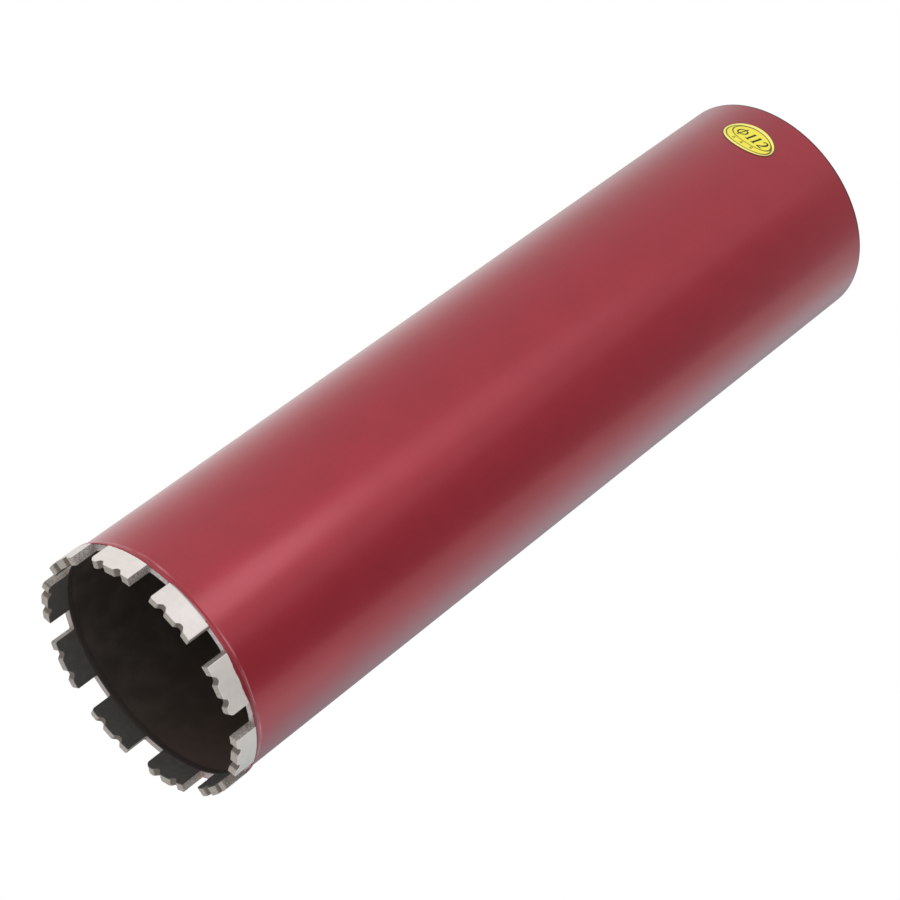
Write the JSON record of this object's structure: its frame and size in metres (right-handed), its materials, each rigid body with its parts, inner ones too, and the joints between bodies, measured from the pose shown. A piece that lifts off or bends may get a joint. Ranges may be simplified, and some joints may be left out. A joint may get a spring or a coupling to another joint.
{
  "type": "diamond core bit",
  "caption": "Diamond core bit: a painted steel barrel with notched diamond segments brazed round its cutting end and a threaded hub on its back plate.",
  "frame": {"origin": "centre of the plane of the segment tips, on the barrel's axis; the part stands on its tips", "axes": "+Z along the barrel from the cutting end to the hub; +X through the middle of segment_01"},
  "size_m": [0.112, 0.1118, 0.432],
  "materials": {
    "barrel_paint": "dark red metallic paint, satin, bare dark steel inside",
    "ring_steel": "turned steel, bare on its end face, paint on its outside",
    "segment_matrix": "ground sintered metal with fine grit",
    "braze_alloy": "dull silver-copper braze",
    "plate_steel": "turned steel disc under dark red paint",
    "weld_steel": "rippled weld bead under dark red paint",
    "hub_steel": "turned and milled steel, lightly oiled",
    "label_film": "printed yellow film"
  },
  "bodies": {
    "root": {"barrel": "barrel_paint", "crown_ring": "ring_steel", "segment_01": "segment_matrix", "segment_02": "segment_matrix", "segment_03": "segment_matrix", "segment_04": "segment_matrix", "segment_05": "segment_matrix", "segment_06": "segment_matrix", "segment_07": "segment_matrix", "segment_08": "segment_matrix", "segment_09": "segment_matrix", "segment_10": "segment_matrix", "braze_01": "braze_alloy", "braze_02": "braze_alloy", "braze_03": "braze_alloy", "braze_04": "braze_alloy", "braze_05": "braze_alloy", "braze_06": "braze_alloy", "braze_07": "braze_alloy", "braze_08": "braze_alloy", "braze_09": "braze_alloy", "braze_10": "braze_alloy", "back_plate": "plate_steel", "plate_weld": "weld_steel", "threaded_hub": "hub_steel", "hub_weld": "weld_steel", "size_label": "label_film"}
  },
  "joints": []
}
